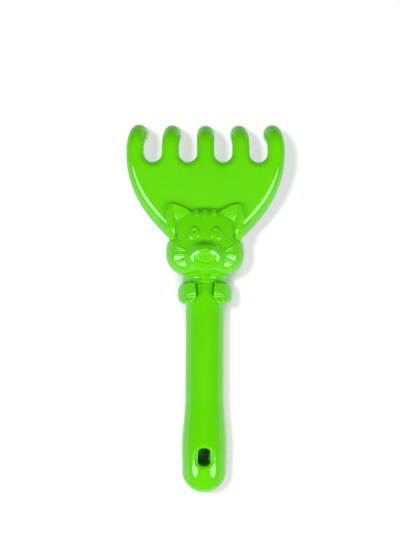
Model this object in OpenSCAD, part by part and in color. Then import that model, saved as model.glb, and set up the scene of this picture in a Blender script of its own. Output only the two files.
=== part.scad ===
// Sand rake for a child: a five-tined blade, a kitten-head socket and a channel handle,
// three mouldings that push together. It lies on its back on the ground plane Z = 0:
// X across, Y along the handle towards the tines, Z up out of the kitten's face.
// All sizes are in millimetres.

/* [Overall] */
// Length from the front of the tines to the end of the handle
overall_l = 130; // [120:1:150]
// Wall thickness of all three mouldings
wall = 1.6; // [1.3:0.1:1.8]
// Clearance all round where one piece pushes into another
fit = 0.15; // [0.1:0.05:0.25]

/* [Tines] */
// Width of one tine
tine_w = 6.1; // [5.4:0.1:6.8]
// Spacing of the tines, centre to centre
tine_pitch = 12.15; // [11.6:0.05:13]
// Length of a tine seen from above, from the bottom of a gap to the front
tine_reach = 15; // [13.5:0.1:16]
// Radius of the bend, on the outside of the tine
tine_bend_r = 7; // [6:0.5:8]
// Steepness of the bent end, in degrees from level
tine_bend_deg = 82; // [76:1:84]
// Lean of a tine's bent end towards the middle, as a share of its distance from there
tine_lean = 0.06; // [0:0.01:0.08]

/* [Blade] */
// Length of the blade from the bottoms of the gaps to the socket
blade_l = 25.9; // [25:0.1:30]
// Height of the top of the blade where it meets the socket
blade_root_z = 12.4; // [11.8:0.1:13]
// Slope of the blade up towards the tines, in degrees
blade_slope = 4.5; // [3:0.5:6]
// Rounding of the long side edges, next to the socket
blade_edge_r = 4.8; // [4:0.1:4.9]
// Depth of the blade's side wall
blade_rim_h = 5.4; // [5:0.1:6]

/* [Kitten socket] */
// Width across the cheeks
head_w = 27.4; // [26:0.1:29]
// Length of head behind the root of the blade
head_back_l = 12.7; // [12.4:0.1:14]
// Length of head that laps over the blade
head_lap_l = 9.8; // [9:0.1:10.5]
// Height of the muzzle
muzzle_z = 19.4; // [18.5:0.1:20]
// Width of the collar
collar_w = 15.5; // [15.3:0.1:16.5]
// Length of collar that shows below the chin
collar_l = 2.7; // [2.2:0.1:3.2]

/* [Handle] */
// Width of the grip
handle_w = 13.4; // [13:0.1:13.6]
// Width of the bulb at the end
bulb_w = 15.6; // [14.6:0.1:17]
// Height of the widest line of the grip above the ground
grip_z = 5; // [4.5:0.1:5.5]
// Length of plug inside the collar
plug_l = 8; // [7.4:0.1:8]
// Width of the hang slot
slot_w = 4.4; // [4:0.1:5]
// Length of the hang slot
slot_l = 6.2; // [5.6:0.1:7]
// Number of cross ribs in the back of the handle
rib_count = 4; // [2:1:5]

/* [Hidden] */
$fn = 48;
green = "#63d80f";
tine_count = 5;
far = 60;

// Places along the length
front_y = overall_l / 2;
gap_y = front_y - tine_reach;
root_y = gap_y - blade_l;
chin_y = root_y - head_back_l;
collar_y = chin_y - collar_l;
end_y = -overall_l / 2;

// Tines
gap_r = (tine_pitch - tine_w) / 2;
gap_centre_y = gap_y + gap_r;
fan_front_y = gap_centre_y + 0.7;
blade_w = (tine_count - 1) * tine_pitch + tine_w;
tine_edge_r = tine_w * 0.38;
tine_h = blade_rim_h;
tip_r = 2.3;
tip_w = tine_w * 0.96;
// Share of the narrowing towards the tip that each stop along the tine takes
tine_draft = 0.04;
// The tines lie this much inside the faces of the blade, where they run into it
tine_sink = 0.04;

// The tine's outer face runs up the slope, round the bend and straight down to the tip
tip_y = front_y - tip_r + (tip_r + tine_sink) * sin(tine_bend_deg);
tip_z = tip_r + (tip_r + tine_sink) * cos(tine_bend_deg);
drop_l = (blade_root_z + (tip_y - tine_bend_r * (sin(tine_bend_deg) + sin(blade_slope)) - root_y)
          * tan(blade_slope) - tip_z + tine_bend_r * (cos(tine_bend_deg) - cos(blade_slope)))
         / (sin(tine_bend_deg) + cos(tine_bend_deg) * tan(blade_slope));
bend_y = tip_y - drop_l * cos(tine_bend_deg) - tine_bend_r * sin(tine_bend_deg);
bend_z = tip_z + drop_l * sin(tine_bend_deg) - tine_bend_r * cos(tine_bend_deg);
bend_steps = 7;
tip_steps = 2;

// Plug, tang and the sockets that take them
handle_r = handle_w / 2;
bulb_r = bulb_w / 2;
collar_r = collar_w / 2;
plug_r = collar_r - wall - fit;
plug_y = collar_y + plug_l;
septum_t = 1.2;
septum_y = plug_y + fit;
tang_y = septum_y + septum_t + fit;
tang_w = 18.6;
tang_draft = 0.2;
tang_top_z = blade_root_z - 1.4;
tang_low_z = wall + fit;
nub_r = 0.8;
nub_y = collar_y + plug_l / 2 + 0.6;
nub_tang_y = (tang_y + root_y) / 2;
nub_z = 5;

// Head
head_r = 6;
crown_z = 16.3;
ear_z = 1.3;

function top_z(y) = blade_root_z + (y - root_y) * tan(blade_slope);
function mix(a, b, t) = a + (b - a) * t;
function bezier(a, b, c, d, t) =
    pow(1 - t, 3) * a + 3 * t * pow(1 - t, 2) * b + 3 * t * t * (1 - t) * c + pow(t, 3) * d;

// Half width and place of the blade's side from the socket (0) to the tines (1)
function flank_x(t) = bezier(head_w / 2 - 0.3, head_w / 2 + 9.1, blade_w / 2, blade_w / 2, t);
function flank_y(t) = bezier(root_y, root_y + 0.35 * blade_l, root_y + 0.7 * blade_l, fan_front_y, t);

// Where along the side a given y lies, found by halving
function flank_t(y, low = 0, high = 1, turns = 24) =
    let (mid = (low + high) / 2)
    turns == 0 ? mid
    : flank_y(mid) < y ? flank_t(y, mid, high, turns - 1) : flank_t(y, low, mid, turns - 1);

// Arch-shaped section: w wide, round-shouldered at the top, h deep
function arch(w, h, r, steps = 6) = concat(
    [[w / 2, -h]],
    [for (i = [0:steps]) [w / 2 - r + r * cos(90 * i / steps), -r + r * sin(90 * i / steps)]],
    [for (i = [0:steps]) [-w / 2 + r + r * cos(90 + 90 * i / steps), -r + r * sin(90 + 90 * i / steps)]],
    [[-w / 2, -h]]);

// Skin over a row of rings that have equal numbers of points
module skin(rings) {
    n = len(rings[0]);
    last = (len(rings) - 1) * n;
    polyhedron(
        points = [for (ring = rings) each ring],
        faces = concat(
            [[for (i = [n - 1:-1:0]) i]],
            [for (k = [0:len(rings) - 2]) for (i = [0:n - 1])
                each [[k * n + i, (k + 1) * n + (i + 1) % n, (k + 1) * n + i],
                      [k * n + i, k * n + (i + 1) % n, (k + 1) * n + (i + 1) % n]]],
            [[for (i = [0:n - 1]) last + i]]));
}

// Blade

// Section of the fan at one place along its side; its edge gets tighter towards the tines
function fan_ring(t, inset) =
    let (x = flank_x(t), y = flank_y(t), r = mix(blade_edge_r, tine_edge_r, t))
    [for (p = arch(2 * (x - inset), blade_rim_h, r - inset * 0.8, inset > 0 ? 3 : 6))
        [p[0], y, top_z(y) - (p[1] == -blade_rim_h ? blade_rim_h + inset : inset - p[1])]];

module fan(inset, y_from, y_to) {
    steps = 12;
    t_from = flank_t(y_from);
    t_to = flank_t(y_to);
    skin([for (i = [0:steps]) fan_ring(mix(t_from, t_to, i / steps), inset)]);
}

// Places on the tine's outer face: y, z and the steepness there. The channel has one step fewer
// in the bend and stops short of the tip, so its rings lie between those of the outside.
function tine_stops(y_from, channel) =
    let (steps = channel ? bend_steps - 1 : bend_steps, trim = channel ? 4 : 0, back = channel ? 1 : 0)
    concat(
        [[y_from, top_z(y_from), -blade_slope]],
        [for (i = [0:steps])
            let (a = mix(-blade_slope + trim, tine_bend_deg - trim, i / steps))
            [bend_y + tine_bend_r * sin(a), bend_z + tine_bend_r * cos(a), a]],
        [[tip_y - back * cos(tine_bend_deg), tip_z + back * sin(tine_bend_deg), tine_bend_deg]]);

// What the lean leaves of a tine's distance from the middle at a stop, more gone the steeper it is there
function lean(stop) = 1 - tine_lean * (stop[2] + blade_slope) / (tine_bend_deg + blade_slope);

// A point w across and n out from the outer face at a stop
function at_stop(stop, x, w, n) =
    [x * lean(stop) + w, stop[0] + n * sin(stop[2]), stop[1] + n * cos(stop[2])];

function tine_ring(stop, x, share, inset) =
    let (w = mix(tine_w, tip_w, share) - 2 * (inset + tine_sink),
         h = mix(tine_h, 2 * tip_r, share) + (inset > 0 ? 1 : 0),
         r = min(mix(tine_edge_r, tip_w * 0.44, share) - inset * 0.7, w * 0.44))
    [for (p = arch(w, h - inset, r, inset > 0 ? 2 : 4)) at_stop(stop, x, p[0], p[1] - inset - tine_sink)];

// Rings that close the tip to a round end
function tip_rings(x) =
    let (stop = [tip_y, tip_z, tine_bend_deg], ring = tine_ring(stop, x, 1, 0),
         mid = at_stop(stop, x, 0, -tip_r - tine_sink), along = [0, cos(tine_bend_deg), -sin(tine_bend_deg)])
    [for (k = [0:tip_steps]) let (a = mix(90 - tine_bend_deg, tine_bend_deg, k / tip_steps))
        [for (p = ring) mid + (p - mid) * cos(a) + along * tip_r * sin(a)]];

module tine_skin(x, inset, channel) {
    stops = tine_stops(channel ? gap_y - wall - 1 : gap_y - 1, channel);
    last = len(stops) - 1;
    rings = [for (k = [0:last]) tine_ring(stops[k], x, k < last ? tine_draft * k : 1, inset)];
    skin(channel ? rings : concat(rings, tip_rings(x)));
}

// Gap between two tines: straight sides, a round bottom and a flared top that rounds the edges
module gap_cut(x) {
    steps = 4;
    turn = 72 / steps;
    edge = tine_edge_r;
    function flare_r(a) = gap_r + edge * (1 - cos(a));
    function flare_z(a) = edge * (sin(a) - 1);
    translate([x, gap_centre_y, top_z(gap_centre_y)]) rotate([blade_slope, 0, 0]) {
        gap_layer(gap_r, -blade_rim_h - 3, gap_r, -edge);
        for (i = [0:steps - 1])
            gap_layer(flare_r(i * turn), flare_z(i * turn), flare_r((i + 1) * turn), flare_z((i + 1) * turn));
        gap_layer(flare_r(72), flare_z(72), flare_r(72) + edge, flare_z(72) + edge * tan(18));
    }
}

// One layer of the cutter; it runs on into the layers above and below
module gap_layer(r_low, z_low, r_high, z_high) {
    more = 0.3;
    h = z_high - z_low;
    hull() for (y = [0, 30]) translate([0, y, z_low - more * h])
        cylinder(r1 = mix(r_low, r_high, -more), r2 = mix(r_low, r_high, 1 + more), h = (1 + 2 * more) * h,
                 $fn = 28);
}

function gap_x(i) = (i - (tine_count - 2) / 2) * tine_pitch;
function tine_x(i) = (i - (tine_count - 1) / 2) * tine_pitch;

// Box with rounded long edges for the tang, from y_from to y_to
module tang_block(inset, y_from, y_to) {
    r = 2.2 - min(inset, 1.2);
    h = tang_top_z - tang_low_z + (inset > 0 ? 1 : 0);
    skin([for (end = [[y_from, tang_w - tang_draft], [y_to, tang_w]])
        [for (p = arch(end[1] - 2 * inset, h - inset, r, 3)) [p[0], end[0], tang_top_z - inset + p[1]]]]);
}

// Open-backed fan with its gaps cut, and a slot behind each tine that takes the tine's channel
module fan_shell() {
    slot_w_back = tine_w - 1.7 * wall;
    difference() {
        fan(0, root_y, fan_front_y);
        for (i = [0:tine_count - 2]) gap_cut(gap_x(i));
        fan(wall, root_y + wall, gap_y - wall);
        for (i = [0:tine_count - 1])
            translate([tine_x(i) - slot_w_back / 2, gap_y - wall - 0.5, 0])
                cube([slot_w_back, far, top_z(gap_y) - 0.8 * wall]);
    }
}

module tine(x) {
    difference() {
        tine_skin(x, 0, false);
        tine_skin(x, wall, true);
    }
}

module tang() {
    difference() {
        union() {
            tang_block(0, tang_y, root_y + wall / 2);
            for (s = [-1, 1])
                translate([s * (tang_w / 2 - 0.2), nub_tang_y, nub_z]) sphere(nub_r, $fn = 12);
        }
        tang_block(wall, tang_y + wall, root_y + wall / 4);
    }
}

module rake_blade() {
    color(green) {
        fan_shell();
        for (i = [0:tine_count - 1]) tine(tine_x(i));
        tang();
    }
}

// Kitten socket

// Balls whose hull makes the head: half the head, mirrored
function head_balls() = [
    [head_w / 2 - head_r, chin_y + head_r, 9.3, head_r],
    [head_w / 2 - 0.5 - head_r, root_y - 1, 9.7, head_r],
    [5.6, root_y + head_lap_l - 4.2, crown_z - 4.5, 4.2]];

module head_block(inset) {
    hull() {
        for (s = [-1, 1]) for (ball = head_balls()) translate([s * ball[0], ball[1], 0]) {
            translate([0, 0, ball[2]]) sphere(ball[3] - inset, $fn = inset > 0 ? 16 : 32);
            translate([0, 0, inset > 0 ? -1 : 0])
                cylinder(r = ball[3] - inset, h = 2, $fn = inset > 0 ? 16 : 32);
        }
        translate([0, chin_y + 10.6, crown_z - 24]) intersection() {
            sphere(24 - inset, $fn = 50);
            translate([-5, -5, 20]) cube([10, 10, 10]);
        }
    }
}

// Everything under the top of the blade, in front of its root
module blade_space(up) {
    rotate([90, 0, 90]) translate([0, 0, -far / 2]) linear_extrude(far)
        polygon([[root_y - fit, -5], [front_y, -5], [front_y, top_z(front_y) + up],
                 [root_y - fit, top_z(root_y - fit) + up]]);
}

// Ear corners of one side: tip, inner end and outer end, each with its height above the blade
function ear_tip() = [11.6, root_y + 11];
function ear_inner() = [5.2, root_y + 8];
function ear_outer() = [12.1, root_y + 1.2];

module ear_ball(place, r, up) {
    translate([place[0], place[1], top_z(place[1]) + up]) sphere(r, $fn = 16);
}

module ear() {
    difference() {
        hull() {
            ear_ball(ear_tip(), 1, ear_z);
            ear_ball(ear_inner(), 1.7, ear_z);
            ear_ball(ear_outer(), 1.4, ear_z);
        }
        hull() {
            ear_ball(mix(ear_tip(), ear_inner(), 0.1) + [-0.7, -2.2], 0.6, ear_z + 1.2);
            ear_ball(mix(ear_inner(), ear_outer(), 0.2) + [0.4, 0.8], 1.2, ear_z + 1.2);
            ear_ball(ear_outer() + [-1.2, 2.4], 0.8, ear_z + 1.2);
        }
    }
}

module muzzle() {
    translate([0, chin_y + 6.7, muzzle_z - 5.3]) scale([6.5, 4.8, 5.3]) sphere(1, $fn = 32);
}

module nose() {
    hull() {
        for (s = [-1, 1]) translate([s * 1.5, chin_y + 8.9, muzzle_z - 0.6]) sphere(0.8, $fn = 14);
        translate([0, chin_y + 7.5, muzzle_z - 0.2]) sphere(0.7, $fn = 14);
    }
}

module eye(s) {
    translate([s * 3.7, root_y + 1.5, crown_z - 0.5]) difference() {
        scale([1.95, 2.4, 1.3]) sphere(1, $fn = 20);
        translate([0, 0.7, 1.5]) sphere(0.6, $fn = 10);
    }
}

// Ridge with round ends between two places
module ridge(a, b, r) {
    hull() for (p = [a, b]) translate(p) sphere(r, $fn = 10);
}

module whiskers(s) {
    ridge([s * 9.3, chin_y + 9.5, 14.9], [s * 7.4, chin_y + 8.9, 15.6], 0.5);
    ridge([s * 10.2, chin_y + 7, 14.5], [s * 7.7, chin_y + 7, 15.4], 0.5);
    ridge([s * 9.6, chin_y + 4.5, 14.5], [s * 7.7, chin_y + 5, 15.3], 0.5);
}

// Three short ridges that run over the edge of the forehead
module stripes() {
    edge_y = root_y + head_lap_l;
    for (s = [-1, 0, 1])
        ridge([s * 3, edge_y - 0.7, crown_z - 2.1],
              [s * 3, edge_y - (s == 0 ? 2.9 : 2.3), crown_z - 0.7], 0.7);
}

module smile_groove() {
    translate([0, chin_y + 7.6, muzzle_z - 0.6]) rotate([0, 0, 215])
        rotate_extrude(angle = 110, $fn = 40) translate([3.7, 0]) circle(0.45, $fn = 8);
}

// Half-round block with straight sides down to z_low, along the length
module channel_block(r, y_from, y_to, z_low) {
    translate([0, y_from, grip_z]) rotate([-90, 0, 0]) cylinder(r = r, h = y_to - y_from, $fn = 64);
    translate([-r, y_from, z_low]) cube([2 * r, y_to - y_from, grip_z - z_low]);
}

// Balls whose hull makes a paw: place along the length, and degrees round the grip from its top
paw_balls = [[-0.8, 33], [-0.8, 56], [-3.9, 34], [-3.9, 60], [-3.9, 84], [-5.5, 44], [-5.5, 76]];
paw_r = 1.7;
paw_ring_r = 8.2;

// A paw: it grows out of the collar, lies round the grip and has a dented palm
module paw(s) {
    difference() {
        hull() for (ball = paw_balls)
            translate([s * paw_ring_r * sin(ball[1]), collar_y + ball[0], grip_z + paw_ring_r * cos(ball[1])])
                sphere(paw_r, $fn = 16);
        translate([s * 4.7, collar_y - 5.2, grip_z + paw_ring_r + 0.6]) sphere(1.6, $fn = 16);
    }
}

// Walls inside the head: socket tube for the plug, septum, guides for the tang and a strap behind it
guide_t = 1.4;
rail_x = 4;
rail_t = 1.2;
rail_h = 4;
strap_l = 3.2;
module socket_walls() {
    channel_block(plug_r + fit + wall, collar_y, septum_y + septum_t, 0);
    translate([-head_w / 2, septum_y, 0]) cube([head_w, septum_t, crown_z]);
    for (s = [-1, 1]) {
        translate([s * (tang_w / 2 + fit + guide_t / 2) - guide_t / 2, septum_y, 0])
            cube([guide_t, root_y + 1 - septum_y, crown_z]);
        translate([s * rail_x - rail_t / 2, septum_y, tang_top_z + fit])
            cube([rail_t, root_y + 1 - septum_y, rail_h]);
    }
    translate([-head_w / 2, tang_y + 0.8, 0]) cube([head_w, strap_l, wall]);
}

module kitten_socket() {
    color(green) difference() {
        union() {
            difference() {
                union() {
                    head_block(0);
                    for (s = [0, 1]) mirror([s, 0, 0]) ear();
                    difference() {
                        muzzle();
                        smile_groove();
                    }
                    nose();
                    for (s = [-1, 1]) {
                        eye(s);
                        whiskers(s);
                    }
                    stripes();
                    channel_block(collar_r, collar_y, chin_y + 3, 0);
                }
                difference() {
                    head_block(wall);
                    socket_walls();
                }
                blade_space(fit);
            }
            difference() {
                for (s = [-1, 1]) paw(s);
                channel_block(handle_r + fit, collar_y - 12, collar_y, -1);
            }
        }
        channel_block(plug_r + fit, collar_y - 3, septum_y, wall);
        translate([0, 0, -3]) cube([far, far, 6], center = true);
        for (s = [-1, 1]) {
            translate([s * (plug_r - 0.2), nub_y, nub_z]) sphere(nub_r + fit, $fn = 12);
            translate([s * (tang_w / 2 - 0.2), nub_tang_y, nub_z]) sphere(nub_r + fit, $fn = 12);
        }
    }
}

// Handle

function ease(t) = t * t * (3 - 2 * t);

// Half width of the grip: even, then swelling into the bulb
bulb_top_y = end_y + 34;
bulb_mid_y = end_y + 14;
function grip_r(y) =
    y > bulb_top_y ? handle_r
    : y > bulb_mid_y ? mix(handle_r, bulb_r, ease((bulb_top_y - y) / (bulb_top_y - bulb_mid_y)))
    : bulb_r;

// Half outline of the grip from the tip of the bulb to the collar, drawn in by an inset
function grip_side(inset) = concat(
    [for (i = [1:8]) let (a = 90 * i / 8)
        [(bulb_r - inset) * sin(a), end_y + bulb_r - (bulb_r - inset) * cos(a)]],
    [for (i = [0:10]) let (y = mix(bulb_mid_y, bulb_top_y, i / 10)) [grip_r(y) - inset, y]]);

function grip_half(inset, y_to) = concat(
    [[0, end_y + inset]], grip_side(inset), [[handle_r - inset, y_to], [0, y_to]]);

function grip_plan(inset, y_to) = concat(
    [for (p = grip_half(inset, y_to)) p],
    [for (i = [len(grip_side(inset)) + 1:-1:1]) let (p = grip_half(inset, y_to)[i]) [-p[0], p[1]]]);

// Upper half turned about the grip's axis, lower half straight down to z_low
module grip_block(inset, y_to, z_low) {
    translate([0, 0, grip_z]) rotate([-90, 0, 0]) rotate([0, 0, 180])
        rotate_extrude(angle = 180) polygon(grip_half(inset, y_to));
    translate([0, 0, z_low]) linear_extrude(grip_z - z_low) polygon(grip_plan(inset, y_to));
}

module half_round(r, y_from, y_to, z_low) {
    translate([0, y_from, grip_z]) rotate([-90, 0, 0]) rotate([0, 0, 180])
        rotate_extrude(angle = 180) square([r, y_to - y_from]);
    translate([-r, y_from, z_low]) cube([2 * r, y_to - y_from, grip_z - z_low]);
}

slot_y = end_y + 13.3;
slot_corner = 1.6;
slot_bevel = 1.3;
sleeve_t = 1.2;
sleeve_z = 0.4;

// Plan of the slot with round corners, widened all round
module slot_plan(more) {
    w = slot_w + 2 * more;
    l = slot_l + 2 * more;
    r = slot_corner + more;
    square([w, l - 2 * r], center = true);
    square([w - 2 * r, l], center = true);
    for (x = [-1, 1]) for (y = [-1, 1]) translate([x * (w / 2 - r), y * (l / 2 - r)]) circle(r);
}

// Slot through the bulb, flared to a bevel at the top
module hang_slot() {
    top = grip_z + bulb_r;
    translate([0, slot_y, 0]) {
        translate([0, 0, -1]) linear_extrude(top + 3) slot_plan(0);
        translate([0, 0, top - slot_bevel]) {
            for (y = [-1, 1]) translate([0, y * (slot_l - slot_w) / 2, 0])
                cylinder(r1 = slot_w / 2, r2 = slot_w / 2 + 2 * slot_bevel, h = 2 * slot_bevel);
            rotate([90, 0, 0]) linear_extrude(slot_l - slot_w, center = true)
                polygon([[-slot_w / 2, 0], [slot_w / 2, 0], [slot_w / 2 + 2 * slot_bevel, 2 * slot_bevel],
                         [-slot_w / 2 - 2 * slot_bevel, 2 * slot_bevel]]);
        }
    }
}

rib_t = 1.2;
rib_z = 1.5;
module handle() {
    rib_from = slot_y + slot_l;
    rib_step = (collar_y - rib_from) / (rib_count + 0.5);
    color(green) {
        difference() {
            union() {
                grip_block(0, collar_y, 0);
                half_round(plug_r, collar_y - 1, plug_y, wall + fit);
                for (s = [-1, 1]) translate([s * (plug_r - 0.2), nub_y, nub_z]) sphere(nub_r);
            }
            difference() {
                grip_block(wall, collar_y - wall, -1);
                for (i = [1:rib_count])
                    translate([-handle_w, rib_from + i * rib_step - rib_t / 2, rib_z])
                        cube([2 * handle_w, rib_t, far]);
                translate([0, slot_y, sleeve_z]) linear_extrude(far) slot_plan(sleeve_t);
            }
            half_round(plug_r - wall, collar_y - 2 * wall, plug_y + 1, -1);
            hang_slot();
        }
    }
}

rake_blade();
kitten_socket();
handle();
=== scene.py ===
"""Dresses the packed sand rake: three smooth glossy mouldings over the CAD frame, a white floor and lamps.

The mouldings are distance fields in millimetres, in the frame's axes: X across, Y along the handle towards
the tines, Z up out of the kitten's face. A field is below zero inside the plastic. Each field is turned
into quads, and the quads' corners are then settled onto the surface.
"""

import math

import bpy
import numpy as np
from mathutils import Euler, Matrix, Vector

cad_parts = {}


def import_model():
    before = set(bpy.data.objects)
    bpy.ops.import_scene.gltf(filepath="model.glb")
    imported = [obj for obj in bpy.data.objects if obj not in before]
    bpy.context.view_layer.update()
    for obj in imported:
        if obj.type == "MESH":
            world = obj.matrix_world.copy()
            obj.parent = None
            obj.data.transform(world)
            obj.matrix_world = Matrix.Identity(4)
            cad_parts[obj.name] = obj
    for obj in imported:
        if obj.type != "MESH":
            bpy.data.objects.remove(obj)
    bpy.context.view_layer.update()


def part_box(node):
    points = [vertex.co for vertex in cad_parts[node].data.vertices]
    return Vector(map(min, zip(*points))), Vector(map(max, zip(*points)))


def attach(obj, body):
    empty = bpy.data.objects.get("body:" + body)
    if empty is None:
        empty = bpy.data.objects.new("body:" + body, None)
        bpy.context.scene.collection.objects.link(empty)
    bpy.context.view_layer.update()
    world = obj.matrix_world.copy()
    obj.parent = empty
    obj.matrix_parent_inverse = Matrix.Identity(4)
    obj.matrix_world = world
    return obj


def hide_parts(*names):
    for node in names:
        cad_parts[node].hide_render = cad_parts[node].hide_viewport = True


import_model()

MM = 0.001


def box_mm(node):
    """Lowest and highest corner of a CAD node in millimetres."""
    return [np.array(corner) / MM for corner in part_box(node)]


blade_low, blade_high = box_mm("rake_blade")
socket_low, socket_high = box_mm("kitten_socket")
handle_low, handle_high = box_mm("handle")

# Shared sizes
WALL = 1.6
FIT = 0.15
FRONT_Y = blade_high[1]
END_Y = handle_low[1]
FAR = 60.0

# Widths of soft edges: at a fit, on walls and cuts, and round the lower rim
FIT_EDGE = 0.15
WALL_EDGE = 0.3
RIM_EDGE = 0.4

# Tines and blade
TINE_COUNT = 5
TINE_W = 6.1
TINE_PITCH = 12.25
BLADE_HALF = (TINE_COUNT - 1) / 2 * TINE_PITCH + TINE_W / 2
TINE_REACH = 14.5
TINE_LEAN = 0.05
LEAN_LEAD = 1.0
TINE_DRAFT = 0.05
TINE_EDGE_R = 2.3
TINE_DIP = 0.3
TINE_DIP_L = 8.0
BEND_R = 7.0
STEEP = math.radians(82)
TIP_R = 2.3
TIP_SOLID = 1.5 * TIP_R
SLOPE = math.radians(4.5)
BLADE_L = 26.4
ROOT_Z = 12.4
FLANK_EDGE_R = 3.2
FLANK_ROOT_R = 7.0
RIM_H = 5.4
BLADE_LOW_EDGE = 0.5
HOLLOW_EDGE = 1.0
HOLLOW_R_LOSS = 0.8 * WALL
HOLLOW_R_MIN = 0.5
GAP_R = (TINE_PITCH - TINE_W) / 2
GAP_Y = FRONT_Y - TINE_REACH
ROOT_Y = GAP_Y - BLADE_L

# Tang and plug
TANG_W = 18.6
TANG_Y = 18.2
TANG_TOP_Z = 11.0
TANG_LOW_Z = 1.75
TANG_EDGE = 1.2
TANG_EDGE_IN = 0.8
GRIP_Z = 5.0
COLLAR_R = 7.75
COLLAR_Y = 8.7
PLUG_R = COLLAR_R - WALL - FIT
PLUG_Y = 16.7
PLUG_FILLET = 0.2
SEPTUM_Y = 16.85
SEPTUM_T = 1.2
GUIDE_HALF = 0.7
GUIDE_END_Y = ROOT_Y + 1
STRAP_Y = (TANG_Y + 0.8, TANG_Y + 4)

# Head
HEAD_HALF = 13.65
CHIN_Y = 11.4
CHIN_R = 7.2
CHEEK_TOP_Y = 24.9
CHEEK_TOP_R = 3.0
CHEEK_DRAW = 0.02
CHEEK_EDGE_R = 3.2
CHEEK_TURN_L = 3.0
CHEEK_FILLET = 1.6
FOREHEAD_Y = 34.4
FOREHEAD_LOW_Y = CHIN_Y + 5
FOREHEAD_HALF = 10.3
FOREHEAD_R = 5.0
FOREHEAD_EDGE_R = 2.6
INSET_R_LOSS = 0.6
CROWN_Z = 16.3
CROWN_Y = 22.3
CROWN_R = (24.0, 22.0)
BROW_R = 45.0

# Ears: outline of the right one, bevel along its outer side, and a pit with two sloping walls
EAR_OUTLINE = [
    (11.5, 36.5), (9.0, 35.9), (7.0, 35.0), (5.3, 33.8), (4.7, 33.0), (5.5, 28.0), (8.5, 22.5),
    (12.4, 22.5), (12.9, 24.6), (13.2, 27.4), (13.5, 30.8), (13.3, 33.6), (12.5, 35.9)]
EAR_EDGE_R = 0.6
EAR_H = 1.8
EAR_LEAD = 1.8
EAR_RISE_L = 5.5
EAR_BEVEL = ((11.1, 26.0), (12.2, 34.6))
EAR_BEVEL_W = 1.2
EAR_BEVEL_SLOPE = 0.42
EAR_PIT_TIP = (11.0, 32.7)
EAR_PIT_LOW = (10.5, 26.0)
EAR_PIT_IN = (5.8, 31.8)
EAR_PIT_DEPTH = 1.3
EAR_PIT_OUTER_SLOPE = 0.95
EAR_PIT_UPPER_SLOPE = 0.75
EAR_PIT_FILLET = 0.6
EAR_PIT_FILLET_MIN = 0.05

# Eyes
EYE_X = 3.8
EYE_Y = 25.85
EYE_HALF = (1.95, 2.5)
EYE_TAPER = 0.2
EYE_H = 0.75
EYE_CROWN = 0.12
EYE_EDGE_R = 0.75
EYE_DOT = (EYE_X, EYE_Y + 0.8, 16.6)
EYE_DOT_R = (0.55, 0.55, 0.45)
EYE_DOT_EDGE = 0.25

# Whiskers on the cheeks and stripes on the forehead
WHISKERS = [((9.3, 21.2), (7.4, 20.3)), ((10.3, 18.5), (7.6, 18.6)), ((9.7, 15.8), (7.6, 16.6))]
WHISKER_H = 0.4
WHISKER_HALF = 0.65
WHISKER_FALL = 0.55
STRIPES = [(-3.0, 32.0), (0.05, 31.3), (3.05, 32.0)]
STRIPE_HALF = 0.75
STRIPE_CORNER = 0.6
STRIPE_EDGE_R = 0.45
STRIPE_H = 0.55
STRIPE_FALL = 0.42

# Muzzle, smile and nose
MUZZLE_Y = CHIN_Y + 7.0
MUZZLE_Z = 19.4
MUZZLE_FALL = 0.56
MUZZLE_HALF_X = 6.6
MUZZLE_HALF_UP = 4.2
MUZZLE_HALF_DOWN = 5.9
MUZZLE_R = 5.5
MUZZLE_EDGE_R = (1.7, 3.0)
MUZZLE_EDGE_L = 3.0
BRIDGE_Y = CHIN_Y + 10.2
BRIDGE_R = 2.0
SMILE_Y = CHIN_Y + 9.2
SMILE_R = 4.7
SMILE_HALF = 4.0
SMILE_FADE = 0.8
SMILE_W = 0.6
SMILE_DEPTH = 0.35
WHISKER_DOTS = [(3.3, 17.4), (2.5, 18.1), (1.75, 18.8)]
WHISKER_DOT_R = 0.35
WHISKER_DOT_DEPTH = 0.15
NOSE = [(-1.9, CHIN_Y + 8.7), (0, CHIN_Y + 9.2), (1.9, CHIN_Y + 8.7), (0, CHIN_Y + 7.2)]
NOSE_R = 0.4
NOSE_Y = CHIN_Y + 9
NOSE_TILT = 0.22
NOSE_EDGE_R = 0.6
NOSE_FILLET = 0.25

# Collar: place and height of two beads and a ridge
BEADS = [(CHIN_Y - 0.2, 0.12), (CHIN_Y - 1.2, 0.12), (COLLAR_Y + 0.6, 0.2)]
BEAD_HALF = 0.6
COLLAR_EDGE_R = 0.5
COLLAR_END_Y = CHIN_Y + 4

# Paws: outline of the right one, its palm and the slit beside it
PAW_OUTLINE = [
    (7.7, 9.0), (9.1, 8.0), (10.5, 6.3), (10.45, 3.9), (9.5, 2.2), (7.7, 1.3), (5.2, 1.4),
    (4.2, 1.9), (3.0, 3.8), (2.9, 5.0), (3.3, 7.6), (3.5, 9.0)]
PAW_R = 9.9
PAW_EDGE_R = (0.7, 1.7)
PAW_EDGE_X = 4.0
PAW_EDGE_L = 3.0
PAW_LOW_Z = 2.4
PAW_LOW_EDGE = 1.5
PALM = (3.9, 2.5)
PALM_HALF = (2.2, 2.2)
PALM_CORNER = 1.4
PALM_DENT = 0.7
PALM_RIM = 0.6
PALM_FALL = 1.4
SLIT = ((3.3, COLLAR_Y + 1), (2.75, COLLAR_Y - 3.7))
SLIT_HALF = 0.4
SLIT_LOW_Z = 9.9

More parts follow.
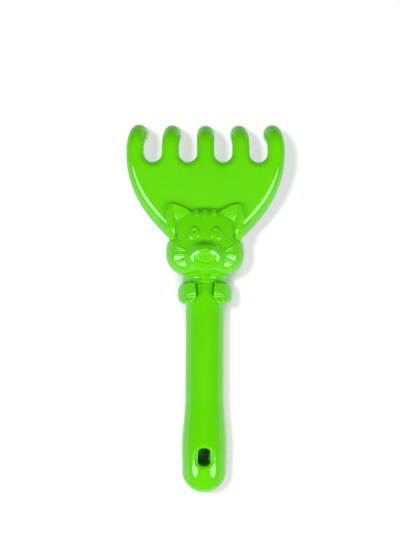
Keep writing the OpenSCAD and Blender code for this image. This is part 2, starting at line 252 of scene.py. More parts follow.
# Handle
GRIP_R = 6.7
BULB_R = 7.85
BULB_END_R = 7.7
BULB_TOP_Y = END_Y + 34
BULB_MID_Y = END_Y + 15.5
BULB_LOW_Y = END_Y + 9.5
BULB_SAG_Y = END_Y + 11.2
BULB_SAG_R = 16.0
FLARE_H = 0.3
FLARE_L = 0.9
GRIP_GAP = 0.02
GRIP_END_EDGE = 0.05
SLOT_Y = END_Y + 13.2
SLOT_HALF = (2.15, 3.1)
SLOT_CORNER = 1.7
SLOT_EDGE = 0.25
SLEEVE_T = 1.2
SLEEVE_LOW_Z = 0.4
DISH_HALF = (3.6, 4.1)
DISH_CORNER = 3.3
DISH_DEPTH = 0.9
DISH_FALL = 1.4
RIB_COUNT = 4
RIB_T = 1.2
RIB_LOW_Z = 1.5

# Tools for distance fields


def mix(a, b, t):
    """Value at share t of the way from a to b."""
    return a + (b - a) * t


def ease(t):
    """Smooth step from 0 to 1."""
    t = np.clip(t, 0, 1)
    return t * t * (3 - 2 * t)


def join(a, b, k):
    """Union with a fillet about k wide."""
    t = np.clip(0.5 + 0.5 * (b - a) / k, 0, 1)
    return mix(b, a, t) - k * t * (1 - t)


def meet(a, b, k):
    """Intersection with a soft edge about k wide."""
    return -join(-a, -b, k)


def cut(a, b, k):
    """a without b, with a soft edge about k wide."""
    return meet(a, -b, k)


def round_corner(a, b, r):
    """Intersection of two half spaces with a corner of radius r."""
    u = a + r
    v = b + r
    return np.minimum(np.maximum(u, v), 0) + np.hypot(np.maximum(u, 0), np.maximum(v, 0)) - r


def slab(v, low, high):
    """Space between two parallel planes."""
    return np.maximum(low - v, v - high)


def block(x, y, z, low, high, k):
    """Box between two corners with soft edges."""
    flat = meet(slab(x, low[0], high[0]), slab(y, low[1], high[1]), k)
    return meet(flat, slab(z, low[2], high[2]), k)


def round_rect(x, y, half, r):
    """Plan of a rectangle about the origin with corners of radius r."""
    return round_corner(np.abs(x) - half[0], np.abs(y) - half[1], r)


def segment(x, y, a, b):
    """Plan distance from the line between two points."""
    run = (b[0] - a[0], b[1] - a[1])
    t = np.clip(((x - a[0]) * run[0] + (y - a[1]) * run[1]) / (run[0] ** 2 + run[1] ** 2), 0, 1)
    return np.hypot(x - a[0] - run[0] * t, y - a[1] - run[1] * t)


def polygon(x, y, points):
    """Signed plan distance from a closed outline."""
    nearest = np.full(np.broadcast(x, y).shape, np.inf)
    inside = np.zeros(nearest.shape, bool)
    for a, b in zip(points, points[1:] + points[:1]):
        nearest = np.minimum(nearest, segment(x, y, a, b))
        across = (a[1] > y) != (b[1] > y)
        rise = b[1] - a[1] if b[1] != a[1] else 1e-9
        inside ^= across & (x < a[0] + (y - a[1]) * (b[0] - a[0]) / rise)
    return np.where(inside, -nearest, nearest)


def beside(x, y, a, b):
    """Plan distance to the left of the line that runs from a to b."""
    run = (b[0] - a[0], b[1] - a[1])
    return ((y - a[1]) * run[0] - (x - a[0]) * run[1]) / math.hypot(*run)


def egg(x, y, z, centre, radii):
    """Ellipsoid."""
    u, v, w = ((p - c) / r for p, c, r in zip((x, y, z), centre, radii))
    k0 = np.sqrt(u * u + v * v + w * w)
    k1 = np.sqrt((u / radii[0]) ** 2 + (v / radii[1]) ** 2 + (w / radii[2]) ** 2)
    return k0 * (k0 - 1) / np.maximum(k1, 1e-6)


def cap(d, r):
    """Relief profile: 1 on a line, falling round to 0 at distance r."""
    return np.sqrt(np.maximum(1 - (d / r) ** 2, 0))


def arch_d(x, z, r):
    """Half-round section with straight sides below the grip's axis."""
    return np.hypot(x, np.maximum(z - GRIP_Z, 0)) - r


def top_z(y):
    """Top of the blade."""
    return ROOT_Z + (y - ROOT_Y) * math.tan(SLOPE)


# Blade: the outer face runs straight from the root, round a bend and down to the tips

STEEP_SIN, STEEP_COS = math.sin(STEEP), math.cos(STEEP)
SLOPE_SIN, SLOPE_COS = math.sin(SLOPE), math.cos(SLOPE)
TIP_Y = FRONT_Y - TIP_R + TIP_R * STEEP_SIN
TIP_Z = TIP_R + TIP_R * STEEP_COS
DROP_L = (
    ROOT_Z + (TIP_Y - BEND_R * (STEEP_SIN + SLOPE_SIN) - ROOT_Y) * math.tan(SLOPE)
    - TIP_Z + BEND_R * (STEEP_COS - SLOPE_COS)
) / (STEEP_SIN + STEEP_COS * math.tan(SLOPE))
DROP_Y = TIP_Y - DROP_L * STEEP_COS
DROP_Z = TIP_Z + DROP_L * STEEP_SIN
BEND_Y = DROP_Y - BEND_R * STEEP_SIN
BEND_Z = DROP_Z - BEND_R * STEEP_COS
BEND_S = (BEND_Y - BEND_R * SLOPE_SIN - ROOT_Y) / SLOPE_COS
DROP_S = BEND_S + BEND_R * (STEEP + SLOPE)
END_S = DROP_S + DROP_L + TIP_R
GAP_S = (GAP_Y - ROOT_Y) / SLOPE_COS
GAP_CENTRE_S = GAP_S + GAP_R

# Along the flank, the edge turns into a tine's edge over this stretch
EDGE_TURN_S = 0.8 * GAP_S
EDGE_TURN_L = 0.6 * GAP_S

FLANK_POINTS = 200


def bezier(a, b, c, d):
    """One coordinate of points along a cubic curve."""
    t = np.linspace(0, 1, FLANK_POINTS)
    return (1 - t) ** 3 * a + 3 * t * (1 - t) ** 2 * b + 3 * t * t * (1 - t) * c + t ** 3 * d


FLANK_X = bezier(HEAD_HALF - 0.3, HEAD_HALF + 9.1, BLADE_HALF + 0.3, BLADE_HALF)
FLANK_S = bezier(0, 0.35 * BLADE_L, 0.7 * BLADE_L, GAP_CENTRE_S + 0.7)
FLANK_COS = 1 / np.hypot(1, np.gradient(FLANK_X, FLANK_S))


def unroll(y, z):
    """Length along the outer face, from root to tip, and height above that face."""
    angle = np.arctan2(y - BEND_Y, z - BEND_Z)
    along = [
        (y - ROOT_Y) * SLOPE_COS + (z - ROOT_Z) * SLOPE_SIN,
        BEND_S + BEND_R * (angle + SLOPE),
        DROP_S + (y - DROP_Y) * STEEP_COS - (z - DROP_Z) * STEEP_SIN,
    ]
    above = [
        (z - ROOT_Z) * SLOPE_COS - (y - ROOT_Y) * SLOPE_SIN,
        np.hypot(y - BEND_Y, z - BEND_Z) - BEND_R,
        (y - DROP_Y) * STEEP_SIN + (z - DROP_Z) * STEEP_COS,
    ]
    before, after = angle < -SLOPE, angle > STEEP
    return [np.where(before, v[0], np.where(after, v[2], v[1])) for v in (along, above)]


def tang_field(x, y, z):
    """Hollow tongue behind the blade, which pushes into the head."""
    half = TANG_W / 2
    outer_high = (half, ROOT_Y + WALL / 2, TANG_TOP_Z)
    outer = block(x, y, z, (-half, TANG_Y, TANG_LOW_Z), outer_high, TANG_EDGE)
    inner_low = (-half + WALL, TANG_Y + WALL, -FAR)
    inner_high = (half - WALL, ROOT_Y + FAR, TANG_TOP_Z - WALL)
    inner = block(x, y, z, inner_low, inner_high, TANG_EDGE_IN)
    return cut(outer, np.maximum(inner, y - ROOT_Y - WALL / 4), WALL_EDGE)


def upright(x, s):
    """Place across with the tines' lean towards the middle taken out."""
    left = 1 - TINE_LEAN * np.clip((s - BEND_S + LEAN_LEAD) / (DROP_S - BEND_S), 0, 1)
    tine = np.clip(np.round(x / (TINE_PITCH * left)), -(TINE_COUNT // 2), TINE_COUNT // 2)
    return x + tine * TINE_PITCH * (1 - left)


def blade_sides(x, s, t):
    """Distance out of the nearest flank or gap, and the radius of the upper edge there."""
    outline = np.abs(x) - np.interp(s, FLANK_S, FLANK_X) + TINE_DRAFT * t
    outline = outline * np.interp(s, FLANK_S, FLANK_COS)
    gap_at = np.clip(np.round(x / TINE_PITCH - 0.5), -TINE_COUNT // 2 + 1, TINE_COUNT // 2 - 1) + 0.5
    across = np.abs(x - gap_at * TINE_PITCH)
    straight = across - GAP_R - TINE_DRAFT * t
    bottom = np.hypot(across, s - GAP_CENTRE_S) - GAP_R
    gap = np.where(s > GAP_CENTRE_S, straight, bottom)
    tine_r = mix(TINE_EDGE_R, TINE_W / 2 - TINE_DRAFT, ease((s - GAP_S) / (DROP_S - GAP_S)))
    flank_r = mix(FLANK_ROOT_R, FLANK_EDGE_R, np.clip(s / GAP_S, 0, 1))
    flank_r = mix(flank_r, tine_r, ease((s - EDGE_TURN_S) / EDGE_TURN_L))
    return np.maximum(outline, -gap), np.where(outline > -gap, flank_r, tine_r)


def blade_field(x, y, z):
    """Hollow fan with its tines, and the tang."""
    dip = TINE_DIP * (1 - (x / (2 * TINE_PITCH)) ** 2) * ease((y - GAP_Y) / TINE_DIP_L)
    s, n = unroll(y + dip, z)
    t = np.clip((s - GAP_S) / (END_S - GAP_S), 0, 1)
    side, edge_r = blade_sides(upright(x, s), s, t)
    plan = round_corner(side, s - END_S, TIP_R)
    depth = mix(RIM_H, 2 * TIP_R, t)
    low = round_corner(s - END_S, -n - depth, TIP_R)
    solid = meet(round_corner(plan, n, edge_r), low, BLADE_LOW_EDGE)
    solid = meet(solid, -s, WALL_EDGE)
    inner_r = np.maximum(edge_r - HOLLOW_R_LOSS, HOLLOW_R_MIN)
    hollow = round_corner(side + WALL, n + WALL, inner_r)
    hollow = meet(hollow, slab(s, WALL, END_S - TIP_SOLID), HOLLOW_EDGE)
    return join(cut(solid, hollow, RIM_EDGE), tang_field(x, y, z), WALL_EDGE)


# Kitten socket


def crown(x, y):
    """Top of the face: round below the eyes, flatter over the forehead."""
    along_r = np.where(y > CROWN_Y, BROW_R, CROWN_R[1])
    return CROWN_Z - x * x / (2 * CROWN_R[0]) - (y - CROWN_Y) ** 2 / (2 * along_r)


def head_plan(x, y):
    """Outline of cheeks and forehead from above."""
    mid_y = (CHIN_Y + CHEEK_TOP_Y) / 2
    half_x = HEAD_HALF - CHEEK_DRAW * np.maximum(y - mid_y, 0) ** 2
    corner = np.where(y > mid_y, CHEEK_TOP_R, CHIN_R)
    cheeks = round_rect(x, y - mid_y, (half_x, (CHEEK_TOP_Y - CHIN_Y) / 2), corner)
    mid_y = (FOREHEAD_Y + FOREHEAD_LOW_Y) / 2
    half = (FOREHEAD_HALF, (FOREHEAD_Y - FOREHEAD_LOW_Y) / 2)
    forehead = round_rect(x, y - mid_y, half, FOREHEAD_R)
    return join(cheeks, forehead, CHEEK_FILLET)


def head_solid(x, y, z, inset):
    """Cheeks and forehead, drawn in by an inset."""
    edge_r = mix(CHEEK_EDGE_R, FOREHEAD_EDGE_R, ease((y - CHEEK_TOP_Y) / CHEEK_TURN_L))
    edge_r = edge_r - INSET_R_LOSS * inset
    return round_corner(head_plan(x, y) + inset, z - crown(x, y) + inset, edge_r)


def whisker_relief(x, y):
    """Height of the whiskers above the face."""
    side = np.abs(x)
    relief = np.zeros(np.broadcast(x, y).shape)
    for a, b in WHISKERS:
        rise = ease((WHISKER_HALF - segment(side, y, a, b)) / WHISKER_FALL)
        relief = np.maximum(relief, WHISKER_H * rise)
    return relief


def stripe_field(x, y, z):
    """Three short bars that stand out over the edge of the forehead."""
    field = np.inf
    for place, low_y in STRIPES:
        half = (STRIPE_HALF, (FOREHEAD_Y - low_y) / 2)
        plan = round_rect(x - place, y - low_y - half[1], half, STRIPE_CORNER)
        top = crown(place, np.float64(low_y)) + STRIPE_H - STRIPE_FALL * np.maximum(y - low_y, 0)
        field = np.minimum(field, round_corner(plan, z - top, STRIPE_EDGE_R))
    return field


def ear_field(x, y, z):
    """Two ears that rise out of the head and stand over the blade."""
    side = np.abs(x)
    bevel = EAR_BEVEL_SLOPE * np.clip(beside(side, y, *EAR_BEVEL), 0, EAR_BEVEL_W)
    outer_wall = EAR_PIT_OUTER_SLOPE * beside(side, y, EAR_PIT_LOW, EAR_PIT_TIP)
    upper_wall = EAR_PIT_UPPER_SLOPE * beside(side, y, EAR_PIT_TIP, EAR_PIT_IN)
    reach = np.hypot(side - EAR_PIT_TIP[0], y - EAR_PIT_TIP[1])
    walls = join(outer_wall, upper_wall, EAR_PIT_FILLET * reach + EAR_PIT_FILLET_MIN)
    pit = np.clip(walls, 0, EAR_PIT_DEPTH)
    top = top_z(y) + EAR_H * ease((y - ROOT_Y + EAR_LEAD) / EAR_RISE_L) - bevel - pit
    return round_corner(polygon(side, y, EAR_OUTLINE), z - top, EAR_EDGE_R)


def eye_field(x, y, z):
    """Raised egg with a small dent, narrower at the top."""
    side = np.abs(x)
    wide = 1 - EYE_TAPER * (y - EYE_Y) / EYE_HALF[1]
    reach = np.hypot((side - EYE_X) / (wide * EYE_HALF[0]), (y - EYE_Y) / EYE_HALF[1])
    plan = (reach - 1) * EYE_HALF[0]
    body = round_corner(plan, z - crown(x, y) - EYE_H + EYE_CROWN * reach ** 2, EYE_EDGE_R)
    return cut(body, egg(side, y, z, EYE_DOT, EYE_DOT_R), EYE_DOT_EDGE)


def muzzle_field(x, y, z):
    """Snout that falls like a cone from the bridge of the nose, with nose, smile and whisker dots."""
    side = np.abs(x)
    half_y = np.where(y > MUZZLE_Y, MUZZLE_HALF_UP, MUZZLE_HALF_DOWN)
    plan = MUZZLE_R * (np.hypot(x / MUZZLE_HALF_X, (y - MUZZLE_Y) / half_y) - 1)
    from_bridge = np.sqrt(x * x + (y - BRIDGE_Y) ** 2 + BRIDGE_R ** 2) - BRIDGE_R
    top = MUZZLE_Z - MUZZLE_FALL * from_bridge
    edge_r = mix(*MUZZLE_EDGE_R, ease((y - MUZZLE_Y + 1) / MUZZLE_EDGE_L))
    body = round_corner(plan, z - top, edge_r)
    mouth = ease((SMILE_HALF - side) / SMILE_FADE) * (y < MUZZLE_Y)
    body = body + SMILE_DEPTH * mouth * cap(np.hypot(x, y - SMILE_Y) - SMILE_R, SMILE_W)
    for dot_x, dot_y in WHISKER_DOTS:
        body = body + WHISKER_DOT_DEPTH * cap(np.hypot(side - dot_x, y - dot_y), WHISKER_DOT_R)
    nose_top = MUZZLE_Z + NOSE_TILT * (y - NOSE_Y)
    tip = round_corner(polygon(x, y, NOSE) - NOSE_R, z - nose_top, NOSE_EDGE_R)
    return join(body, tip, NOSE_FILLET)


def neck_field(x, y, z):
    """Collar with two shallow beads and a ridge along its lower edge."""
    beads = sum(height * cap(y - place, BEAD_HALF) for place, height in BEADS)
    tube = arch_d(x, z, COLLAR_R) - beads
    return np.maximum(round_corner(tube, COLLAR_Y - y, COLLAR_EDGE_R), y - COLLAR_END_Y)


def paw_field(x, y, z):
    """Two paws wrapped round the grip, each with a dented palm."""
    side = np.abs(x)
    ring = np.hypot(side, z - GRIP_Z)
    palm = round_rect(side - PALM[0], y - PALM[1], PALM_HALF, PALM_CORNER)
    outer = PAW_R - PALM_DENT * ease((PALM_RIM - palm) / PALM_FALL)
    edge_r = mix(*PAW_EDGE_R, ease((side - PAW_EDGE_X) / PAW_EDGE_L))
    body = round_corner(polygon(side, y, PAW_OUTLINE), ring - outer, edge_r)
    body = meet(body, PAW_LOW_Z - z, PAW_LOW_EDGE)
    return cut(body, arch_d(x, z, GRIP_R + FIT), WALL_EDGE)


def socket_walls(x, y, z):
    """Plug tube, septum, guides for the tang and the strap behind it."""
    side = np.abs(x)
    tube = np.maximum(arch_d(x, z, PLUG_R + FIT + WALL), slab(y, COLLAR_Y, SEPTUM_Y + SEPTUM_T))
    septum = slab(y, SEPTUM_Y, SEPTUM_Y + SEPTUM_T)
    guide_x = TANG_W / 2 + FIT + GUIDE_HALF
    guides = np.maximum(np.abs(side - guide_x) - GUIDE_HALF, slab(y, SEPTUM_Y, GUIDE_END_Y))
    strap = np.maximum(z - WALL, slab(y, *STRAP_Y))
    return np.minimum(np.minimum(tube, septum), np.minimum(guides, strap))


# What joins the face, in this order, and the width of its fillet
FACE_PARTS = [
    (ear_field, 0.35), (stripe_field, 0.3), (muzzle_field, 1.8), (eye_field, 0.25), (neck_field, 0.35)]


def socket_field(x, y, z):
    """Hollow head with its face, collar and paws, and room for the blade, the plug and the grip."""
    shell = head_solid(x, y, z, 0) - whisker_relief(x, y)
    for part, fillet in FACE_PARTS:
        shell = join(shell, part(x, y, z), fillet)
    hollow = cut(head_solid(x, y, z, WALL), socket_walls(x, y, z), WALL_EDGE)
    shell = cut(shell, hollow, WALL_EDGE)
    blade_room = np.maximum(ROOT_Y - FIT - y, z - top_z(y) - FIT)
    shell = cut(shell, blade_room, FIT_EDGE)
    shell = join(shell, paw_field(x, y, z), WALL_EDGE)
    plug_room = round_corner(arch_d(x, z, PLUG_R + FIT), slab(y, -FAR, SEPTUM_Y), PLUG_FILLET)
    plug_room = np.maximum(plug_room, np.maximum(WALL - z, COLLAR_Y - 0.5 - y))
    grip_room = np.maximum(grip_solid(x, y, z, -FIT), y - COLLAR_Y)
    shell = cut(shell, np.minimum(plug_room, grip_room), FIT_EDGE)
    return meet(shell, -z, RIM_EDGE)


# Handle


def grip_half(y):
    """Half width of the grip: even, swelling into the bulb, with a small flare against the collar."""
    swell = mix(GRIP_R, BULB_R, ease((BULB_TOP_Y - y) / (BULB_TOP_Y - BULB_MID_Y)))
    end = mix(BULB_R, BULB_END_R, ease((BULB_MID_Y - y) / (BULB_MID_Y - BULB_LOW_Y)))
    flare = FLARE_H * np.exp(-((COLLAR_Y - y) / FLARE_L) ** 2)
    return np.where(y > BULB_MID_Y, swell, end) + flare


def grip_solid(x, y, z, inset):
    """Grip and bulb without their hollow, drawn in by an inset."""
    q = np.hypot(x, np.maximum(z - GRIP_Z, 0))
    end_y = END_Y + BULB_END_R
    body = np.where(y < end_y, np.hypot(q, y - end_y) - BULB_END_R, q - grip_half(y))
    sag = np.maximum(BULB_SAG_Y - y, 0) ** 2 / (2 * BULB_SAG_R)
    top = arch_d(x, z + sag, grip_half(y))
    return np.maximum(body, top) + inset


def handle_hollow(x, y, z, slot):
    """Open channel of the grip, less its cross ribs and the sleeve round the slot."""
    hollow = np.maximum(grip_solid(x, y, z, WALL), y - COLLAR_Y + WALL)
    rib_from = SLOT_Y + 2 * SLOT_HALF[1]
    rib_step = (COLLAR_Y - rib_from) / (RIB_COUNT + 0.5)
    for i in range(1, RIB_COUNT + 1):
        rib = np.maximum(np.abs(y - rib_from - i * rib_step) - RIB_T / 2, RIB_LOW_Z - z)
        hollow = cut(hollow, rib, WALL_EDGE)
    sleeve = np.maximum(slot - SLEEVE_T, SLEEVE_LOW_Z - z)
    return cut(hollow, sleeve, WALL_EDGE)


def with_plug(shell, x, y, z):
    """Adds the hollow plug that pushes into the collar."""
    plug = np.maximum(arch_d(x, z, PLUG_R), slab(y, COLLAR_Y - 1, PLUG_Y))
    plug = meet(plug, WALL + FIT - z, WALL_EDGE)
    bore = np.maximum(arch_d(x, z, PLUG_R - WALL), slab(y, COLLAR_Y - 2 * WALL, PLUG_Y + 1))
    return cut(join(shell, plug, PLUG_FILLET), bore, WALL_EDGE)


def handle_field(x, y, z):
    """Channel-backed grip with the dished slot, the plug and the slits beside the paws."""
    dish = round_rect(x, y - SLOT_Y, DISH_HALF, DISH_CORNER)
    slot = round_rect(x, y - SLOT_Y, SLOT_HALF, SLOT_CORNER)
    dent = DISH_DEPTH * np.clip(-dish / DISH_FALL, 0, 1) * (z > GRIP_Z)
    outer = grip_solid(x, y, z, 0) + dent
    outer = meet(outer, y - COLLAR_Y + GRIP_GAP, GRIP_END_EDGE)
    shell = cut(outer, handle_hollow(x, y, z, slot), WALL_EDGE)
    shell = with_plug(shell, x, y, z)
    slit = segment(np.abs(x), y, *SLIT) - SLIT_HALF
    shell = cut(shell, np.maximum(slit, SLIT_LOW_Z - z), FIT_EDGE)
    shell = cut(shell, slot, SLOT_EDGE)
    return meet(shell, -z, RIM_EDGE)


# From fields to meshes

NET_MARGIN = 1.0
SLOPE_REACH = 0.02
SLOPE_MIN = 0.3
EVEN_SHARE = 0.6
EVEN_ROUNDS = 2
SETTLE_ROUNDS = 4
PAINTED_SHADE_REACH = 1.2
WORN_REACH = 0.5
BLADE_STEP = 0.32
SOCKET_STEP = 0.2
HANDLE_STEP = 0.3
UNIT = np.eye(3, dtype=int)


def crossed_cells(inside):
    """Mask of the cells that have corners on both sides of the surface."""
    size = np.array(inside.shape) - 1
    count = np.zeros(size, np.int8)
    for corner in np.ndindex(2, 2, 2):
        count += inside[tuple(slice(c, c + n) for c, n in zip(corner, size))]
    return (count > 0) & (count < 8)


def cell_points(values, cells):
    """Mean place, in grid steps, at which the surface crosses the edges of each cell."""
    total = np.zeros((len(cells), 3))
    hits = np.zeros(len(cells))
    for axis in range(3):
        along, u, v = (UNIT[(axis + i) % 3] for i in range(3))
        for side in np.ndindex(2, 2):
            start = cells + side[0] * u + side[1] * v
            a, b = values[tuple(start.T)], values[tuple((start + along).T)]
            crosses = (a < 0) != (b < 0)
            share = np.where(crosses, a / np.where(crosses, a - b, 1), 0)
            total += crosses[:, None] * (start + share[:, None] * along)
            hits += crosses
    return total / hits[:, None]


def quads_across(inside, number, axis):
    """Quads round the grid edges along one axis that the surface crosses, facing out of the plastic."""
    u, v = UNIT[(axis + 1) % 3], UNIT[(axis + 2) % 3]
    first = np.moveaxis(inside, axis, 0)
    edges = np.argwhere(first[:-1] != first[1:])
    starts_inside = first[tuple(edges.T)]
    order = np.argsort([axis] + [i for i in range(3) if i != axis])
    edges = edges[:, order]
    quads = np.stack([number[tuple((edges - d).T)] for d in (0 * u, u, u + v, v)], 1)
    quads[~starts_inside] = quads[~starts_inside][:, ::-1]
    return quads


def net(field, low, high, step):
    """Quads over a field's zero level inside a box: one point in each cell that the surface crosses."""
    axes = [np.arange(a - NET_MARGIN, b + NET_MARGIN + step, step) for a, b in zip(low, high)]
    grid = np.meshgrid(*axes, indexing="ij", sparse=True)
    values = field(*grid).astype(np.float32)
    inside = values < 0
    crossed = crossed_cells(inside)
    cells = np.argwhere(crossed)
    number = np.full(crossed.shape, -1, np.int32)
    number[crossed] = np.arange(len(cells))
    points = np.array([a[0] for a in axes]) + step * cell_points(values, cells)
    return points, np.concatenate([quads_across(inside, number, axis) for axis in range(3)])


def slope_at(field, points):
    """Gradient of a field at points."""
    columns = []
    for shift in SLOPE_REACH * UNIT:
        change = field(*(points + shift).T) - field(*(points - shift).T)
        columns.append(change / (2 * SLOPE_REACH))
    return np.stack(columns, 1)


def settle(field, points, faces, step):
    """Evens the quads out and moves their corners onto the surface."""
    corners = faces.ravel()
    shares = np.bincount(corners, minlength=len(points))
    for i in range(SETTLE_ROUNDS):
        if i < EVEN_ROUNDS:
            middles = np.repeat(points[faces].mean(1), 4, axis=0)
            sums = [np.bincount(corners, middles[:, axis], len(points)) for axis in range(3)]
            points = mix(points, np.stack(sums, 1) / shares[:, None], EVEN_SHARE)
        slope = slope_at(field, points)
        move = field(*points.T) / np.maximum((slope ** 2).sum(1), SLOPE_MIN)
        points = points - np.clip(move, -step, step)[:, None] * slope
    return points


def moulding(name, field, low, high, step, material):
    """One piece in place of a CAD node: its mesh with smooth normals, and values for wear and for painted
    shade in hollows.
    """
    points, faces = net(field, low, high, step)
    points = settle(field, points, faces, step)
    slope = slope_at(field, points)
    normals = slope / np.maximum(np.linalg.norm(slope, axis=1, keepdims=True), 1e-6)
    mesh = bpy.data.meshes.new(name + "_moulding")
    mesh.from_pydata((points * MM).tolist(), [], faces.tolist())
    mesh.polygons.foreach_set("use_smooth", np.ones(len(faces), bool))
    mesh.normals_split_custom_set_from_vertices(normals.tolist())
    # The hollow value is high in crevices and recesses, where the material paints shade into the colour
    hollow = 1 - np.clip(field(*(points + PAINTED_SHADE_REACH * normals).T) / PAINTED_SHADE_REACH, 0, 1)
    worn = 1 - np.clip(-field(*(points - WORN_REACH * normals).T) / WORN_REACH, 0, 1)
    for label, values in (("hollow", hollow), ("worn", worn)):
        column = mesh.attributes.new(label, "FLOAT", "POINT")
        column.data.foreach_set("value", values.astype(np.float32))
    mesh.materials.append(material)
    piece = bpy.data.objects.new(name + "_moulding", mesh)
    bpy.context.scene.collection.objects.link(piece)
    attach(piece, "root")
    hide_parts(name)
    return piece


# Material

PLASTIC_IOR = 1.54
PLASTIC_DARK = (0.128, 0.73, 0.001, 1)
PLASTIC_LIGHT = (0.142, 0.77, 0.002, 1)
# Darker green painted into crevices and recesses as shade, and how much of it is mixed in
PLASTIC_PAINTED_SHADE = (0.05, 0.50, 0.002, 1)
PLASTIC_WORN = (0.24, 0.82, 0.03, 1)
PAINTED_SHADE_SHARE = 0.5
WORN_SHARE = 0.35
DRIFT_SCALE = 45
HAZE_SCALE = 260
WAVE_SCALE = 420
ROUGHNESS = (0.05, 0.10)
WAVE_STRENGTH = 0.06
WAVE_HEIGHT = 0.00015


def noise(tree, place, scale, detail):
    """Noise over an object's own coordinates."""
    texture = tree.nodes.new("ShaderNodeTexNoise")
    texture.inputs["Scale"].default_value = scale
    texture.inputs["Detail"].default_value = detail
    tree.links.new(place.outputs["Object"], texture.inputs["Vector"])
    return texture.outputs["Fac"]


def ramp(tree, value, stops):
    """Colours at places along a value from 0 to 1."""
    node = tree.nodes.new("ShaderNodeValToRGB")
    elements = node.color_ramp.elements
    for element, (place, colour) in zip(elements, (stops[0], stops[-1])):
        element.position = place
        element.color = colour
    for place, colour in stops[1:-1]:
        elements.new(place).color = colour
    tree.links.new(value, node.inputs["Fac"])
    return node.outputs["Color"]


def tinted(tree, base, label, share, colour):
    """Mixes up to a share of a colour in where a value of the mesh is high."""
    value = tree.nodes.new("ShaderNodeAttribute")
    value.attribute_name = label
    part = tree.nodes.new("ShaderNodeMath")
    part.operation = "MULTIPLY"
    part.inputs[1].default_value = share
    blend = tree.nodes.new("ShaderNodeMix")
    blend.data_type = "RGBA"
    blend.inputs["B"].default_value = colour
    tree.links.new(value.outputs["Fac"], part.inputs[0])
    tree.links.new(part.outputs[0], blend.inputs["Factor"])
    tree.links.new(base, blend.inputs["A"])
    return blend.outputs["Result"]


def green_plastic():
    """Glossy opaque plastic: slow colour drift, fine waviness, paler worn edges and painted shade that
    darkens the hollows.
    """
    material = bpy.data.materials.new("green_plastic_gloss")
    material.use_nodes = True
    tree = material.node_tree
    shader = tree.nodes["Principled BSDF"]
    shader.inputs["IOR"].default_value = PLASTIC_IOR
    place = tree.nodes.new("ShaderNodeTexCoord")

    drift = noise(tree, place, DRIFT_SCALE, 3)
    colour = ramp(tree, drift, [(0.3, PLASTIC_DARK), (0.7, PLASTIC_LIGHT)])
    # Paints shade into the hollows: darker green where the surface is closed in
    colour = tinted(tree, colour, "hollow", PAINTED_SHADE_SHARE, PLASTIC_PAINTED_SHADE)
    colour = tinted(tree, colour, "worn", WORN_SHARE, PLASTIC_WORN)
    tree.links.new(colour, shader.inputs["Base Color"])

    rough = tree.nodes.new("ShaderNodeMapRange")
    rough.inputs["To Min"].default_value = ROUGHNESS[0]
    rough.inputs["To Max"].default_value = ROUGHNESS[1]
    tree.links.new(noise(tree, place, HAZE_SCALE, 4), rough.inputs["Value"])
    tree.links.new(rough.outputs["Result"], shader.inputs["Roughness"])

    bump = tree.nodes.new("ShaderNodeBump")
    bump.inputs["Strength"].default_value = WAVE_STRENGTH
    bump.inputs["Distance"].default_value = WAVE_HEIGHT
    tree.links.new(noise(tree, place, WAVE_SCALE, 2), bump.inputs["Height"])
    tree.links.new(bump.outputs["Normal"], shader.inputs["Normal"])
    return material


# Stage

FLOOR_HALF = 3.0
FLOOR_TONE = (0.5, 0.5, 0.5, 1)
FLOOR_ROUGHNESS = 0.9
FLOOR_GLOW = 0.62
SKY_REACH = 0.012
SKY_NONE = 0.16
SKY_FULL = 0.6
WORLD_STOPS = [(0.05, (0.4, 0.4, 0.4, 1)), (0.4, (0.12, 0.12, 0.12, 1)), (0.8, (0.03, 0.03, 0.03, 1))]
PHOTO_W, PHOTO_H = 400, 533
PHOTO_MM_PER_PX = 0.3515
PHOTO_AXIS = (204.95, 290.3)
PHOTO_ROLL = math.radians(0.27)
CAMERA_OVER = (0.0, 6.2)
CAMERA_HEIGHT = 500.0
PLANE_Z = 6.0
SENSOR_H = 24.0
CLIP_START, CLIP_END = 0.01, 20


def floor_glow(tree):
    """Glow for the camera and mirrors only, which fades where the rake hides the sky from the floor: painted
    shade on the floor under and inside the rake.
    """
    nodes, links = tree.nodes, tree.links
    rays = nodes.new("ShaderNodeLightPath")
    seen = nodes.new("ShaderNodeMath")
    seen.operation = "MAXIMUM"
    links.new(rays.outputs["Is Camera Ray"], seen.inputs[0])
    links.new(rays.outputs["Is Glossy Ray"], seen.inputs[1])
    sky = nodes.new("ShaderNodeAmbientOcclusion")
    sky.inputs["Distance"].default_value = SKY_REACH
    open_sky = nodes.new("ShaderNodeMapRange")
    open_sky.inputs["From Min"].default_value = SKY_NONE
    open_sky.inputs["From Max"].default_value = SKY_FULL
    open_sky.inputs["To Max"].default_value = FLOOR_GLOW
    links.new(sky.outputs["AO"], open_sky.inputs["Value"])
    glow = nodes.new("ShaderNodeMath")
    glow.operation = "MULTIPLY"
    links.new(seen.outputs[0], glow.inputs[0])
    links.new(open_sky.outputs["Result"], glow.inputs[1])
    return glow.outputs[0]


def floor():
    """White floor, partly lit by the lamps and partly glowing."""
    half = FLOOR_HALF
    corners = [(-half, -half, 0), (half, -half, 0), (half, half, 0), (-half, half, 0)]
    mesh = bpy.data.meshes.new("floor")
    mesh.from_pydata(corners, [], [(0, 1, 2, 3)])
    material = bpy.data.materials.new("white_floor")
    material.use_nodes = True
    tree = material.node_tree
    shader = tree.nodes["Principled BSDF"]
    shader.inputs["Base Color"].default_value = FLOOR_TONE
    shader.inputs["Roughness"].default_value = FLOOR_ROUGHNESS
    shader.inputs["Specular IOR Level"].default_value = 0.0
    shader.inputs["Emission Color"].default_value = (1, 1, 1, 1)
    tree.links.new(floor_glow(tree), shader.inputs["Emission Strength"])
    mesh.materials.append(material)
    sheet = bpy.data.objects.new("floor", mesh)
    bpy.context.scene.collection.objects.link(sheet)
    return sheet


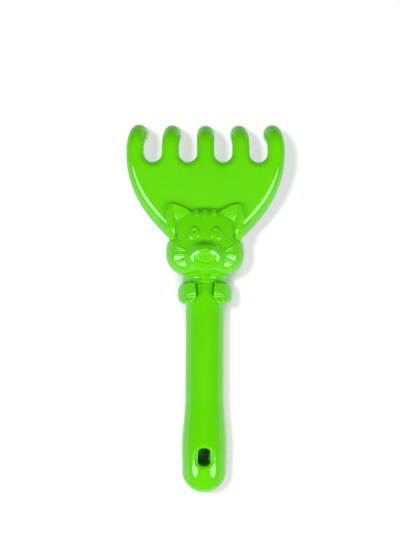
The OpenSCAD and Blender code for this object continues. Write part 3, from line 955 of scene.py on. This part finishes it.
def softbox(name, only, azimuth, elevation, distance, size, power, glossy=True):
    """Round lamp that faces the middle of the rake from a direction and lights only some objects."""
    lamp = bpy.data.lights.new(name, "AREA")
    lamp.shape = "ELLIPSE"
    lamp.size = size
    lamp.size_y = size
    lamp.energy = power
    holder = bpy.data.objects.new(name, lamp)
    turn, lift = math.radians(azimuth), math.radians(elevation)
    away = Vector((math.sin(turn) * math.cos(lift), -math.cos(turn) * math.cos(lift), math.sin(lift)))
    holder.location = away * distance
    holder.rotation_euler = away.to_track_quat("Z", "Y").to_euler()
    holder.visible_glossy = glossy
    bpy.context.scene.collection.objects.link(holder)
    lit = bpy.data.collections.new(name + "_lights")
    for piece in only:
        lit.objects.link(piece)
    holder.light_linking.receiver_collection = lit


def lamps(mouldings, sheet):
    """Two softboxes that show as highlights, soft light from above and behind, and the floor's own light."""
    softbox("softbox_left", mouldings, azimuth=-59, elevation=36, distance=0.8, size=0.42, power=2.95)
    softbox("softbox_right", mouldings, azimuth=58, elevation=36, distance=0.8, size=0.42, power=2.75)
    wide = {"distance": 1.6, "size": 0.7, "glossy": False}
    softbox("overhead", mouldings, azimuth=0, elevation=75, power=10.5, **wide)
    softbox("back_fill", mouldings, azimuth=180, elevation=45, power=1.5, **wide)
    low = {"distance": 1.6, "glossy": False}
    softbox("floor_key", [sheet], azimuth=-112, elevation=67, size=0.3, power=18.4, **low)
    softbox("floor_fill", [sheet], azimuth=60, elevation=70, size=0.4, power=3.5, **low)


def world():
    """Dim studio, darkest straight above."""
    room = bpy.data.worlds.new("studio")
    room.use_nodes = True
    bpy.context.scene.world = room
    tree = room.node_tree
    place = tree.nodes.new("ShaderNodeTexCoord")
    split = tree.nodes.new("ShaderNodeSeparateXYZ")
    tree.links.new(place.outputs["Generated"], split.inputs["Vector"])
    back = tree.nodes["Background"]
    back.inputs["Strength"].default_value = 1.0
    tree.links.new(ramp(tree, split.outputs["Z"], WORLD_STOPS), back.inputs["Color"])


def camera():
    """Straight down, as in the photograph, framed by its scale."""
    view = bpy.data.cameras.new("camera")
    view.sensor_fit = "VERTICAL"
    view.sensor_height = SENSOR_H
    view.lens = view.sensor_height * CAMERA_HEIGHT / (PHOTO_H * PHOTO_MM_PER_PX)
    view.shift_x = (PHOTO_W / 2 - PHOTO_AXIS[0]) / PHOTO_H
    view.shift_y = (PHOTO_AXIS[1] - PHOTO_H / 2) / PHOTO_H
    view.clip_start = CLIP_START
    view.clip_end = CLIP_END
    holder = bpy.data.objects.new("camera", view)
    holder.location = Vector((CAMERA_OVER[0], CAMERA_OVER[1], PLANE_Z + CAMERA_HEIGHT)) * MM
    holder.rotation_euler = Euler((0, 0, PHOTO_ROLL))
    bpy.context.scene.collection.objects.link(holder)
    bpy.context.scene.camera = holder


# Build

plastic = green_plastic()
mouldings = [
    moulding("rake_blade", blade_field, blade_low, blade_high, BLADE_STEP, plastic),
    moulding("kitten_socket", socket_field, socket_low, socket_high, SOCKET_STEP, plastic),
    moulding("handle", handle_field, handle_low, handle_high, HANDLE_STEP, plastic),
]
sheet = floor()
world()
lamps(mouldings, sheet)
camera()
bpy.context.scene.view_settings.view_transform = "Standard"
